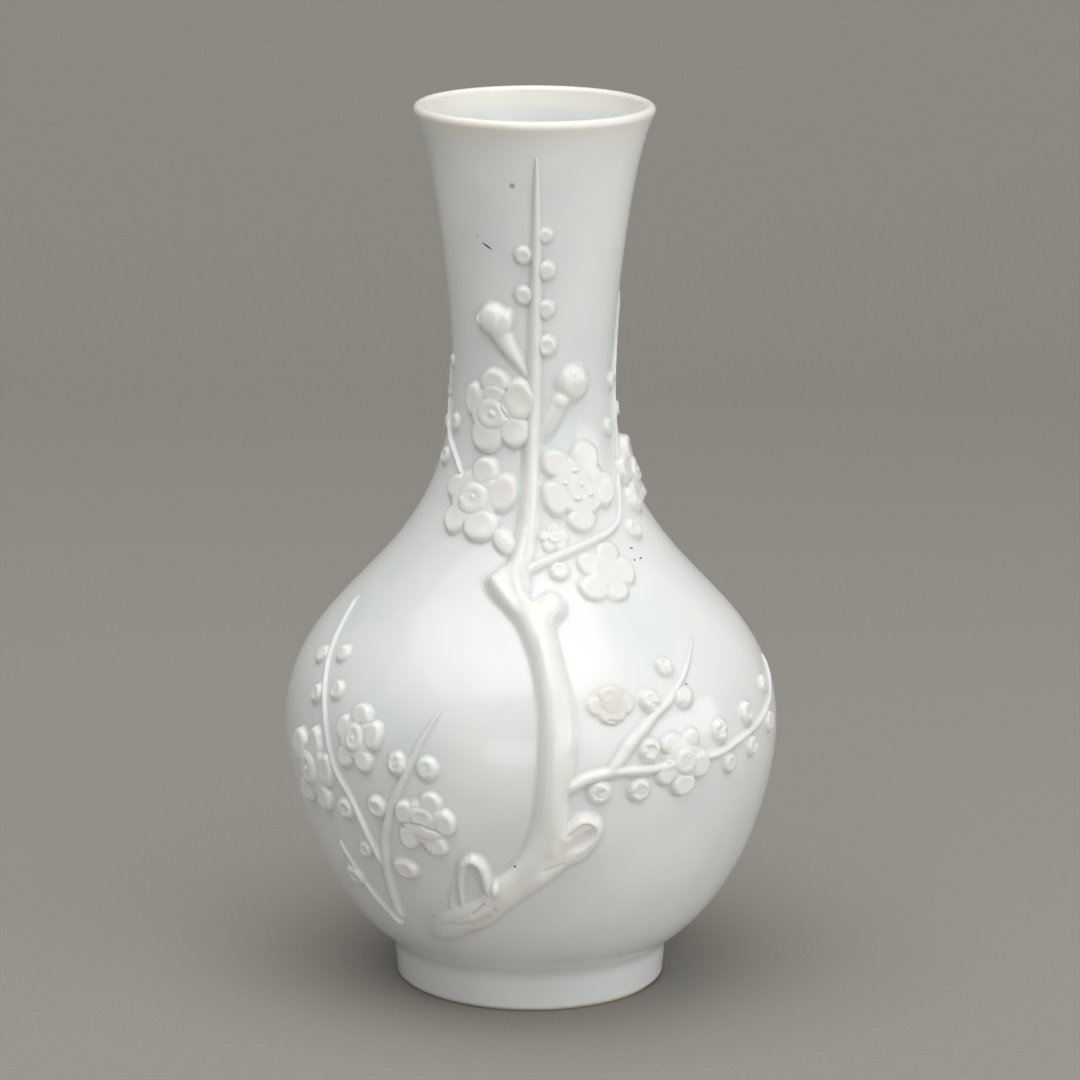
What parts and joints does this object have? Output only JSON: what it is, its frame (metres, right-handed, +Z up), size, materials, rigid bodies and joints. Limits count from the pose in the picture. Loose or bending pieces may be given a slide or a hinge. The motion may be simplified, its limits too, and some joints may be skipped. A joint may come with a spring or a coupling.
{
  "type": "bottle vase",
  "caption": "White glazed porcelain bottle vase with a round belly, a tall flared neck, a low foot ring and applied prunus branches, buds and blossoms.",
  "frame": {"origin": "on the table, at the middle of the foot ring", "axes": "+Z up through the mouth, -Y towards the side with the main trunk, +X to that side's right"},
  "size_m": [0.114, 0.12, 0.205],
  "materials": {
    "glazed_body": "gloss",
    "glazed_sprigs": "gloss"
  },
  "bodies": {
    "root": {"foot_ring": "glazed_body", "lower_body": "glazed_body", "upper_body": "glazed_body", "neck": "glazed_body", "back_blossom_left": "glazed_sprigs", "back_blossom_neck": "glazed_sprigs", "back_blossom_right": "glazed_sprigs", "back_blossom_shoulder": "glazed_sprigs", "back_left_branch": "glazed_sprigs", "back_right_branch": "glazed_sprigs", "back_shoot": "glazed_sprigs", "back_trunk": "glazed_sprigs", "blossom_below_shoulder": "glazed_sprigs", "blossom_left": "glazed_sprigs", "blossom_left_edge": "glazed_sprigs", "blossom_left_low": "glazed_sprigs", "blossom_neck_base_left": "glazed_sprigs", "blossom_neck_edge_right": "glazed_sprigs", "blossom_neck_left": "glazed_sprigs", "blossom_neck_right": "glazed_sprigs", "blossom_right": "glazed_sprigs", "blossom_shoulder_right": "glazed_sprigs", "bud_fork": "glazed_sprigs", "bud_leaf": "glazed_sprigs", "bud_left_1": "glazed_sprigs", "bud_left_10": "glazed_sprigs", "bud_left_2": "glazed_sprigs", "bud_left_3": "glazed_sprigs", "bud_left_4": "glazed_sprigs", "bud_left_5": "glazed_sprigs", "bud_left_6": "glazed_sprigs", "bud_left_7": "glazed_sprigs", "bud_left_8": "glazed_sprigs", "bud_left_9": "glazed_sprigs", "bud_neck_left_low": "glazed_sprigs", "bud_neck_right_low": "glazed_sprigs", "bud_right_1": "glazed_sprigs", "bud_right_2": "glazed_sprigs", "bud_right_3": "glazed_sprigs", "bud_right_4": "glazed_sprigs", "bud_right_5": "glazed_sprigs", "bud_right_6": "glazed_sprigs", "bud_right_7": "glazed_sprigs", "bud_shoot_tip": "glazed_sprigs", "bud_shoulder_right_high": "glazed_sprigs", "bud_shoulder_right_low": "glazed_sprigs", "bud_spur_left": "glazed_sprigs", "bud_spur_right": "glazed_sprigs", "left_low_twig": "glazed_sprigs", "left_middle_twig": "glazed_sprigs", "left_outer_twig": "glazed_sprigs", "neck_left_twig": "glazed_sprigs", "neck_shoot": "glazed_sprigs", "right_branch": "glazed_sprigs", "right_side_twig": "glazed_sprigs", "rosette": "glazed_sprigs", "shoulder_branch": "glazed_sprigs", "trunk": "glazed_sprigs"}
  },
  "joints": []
}
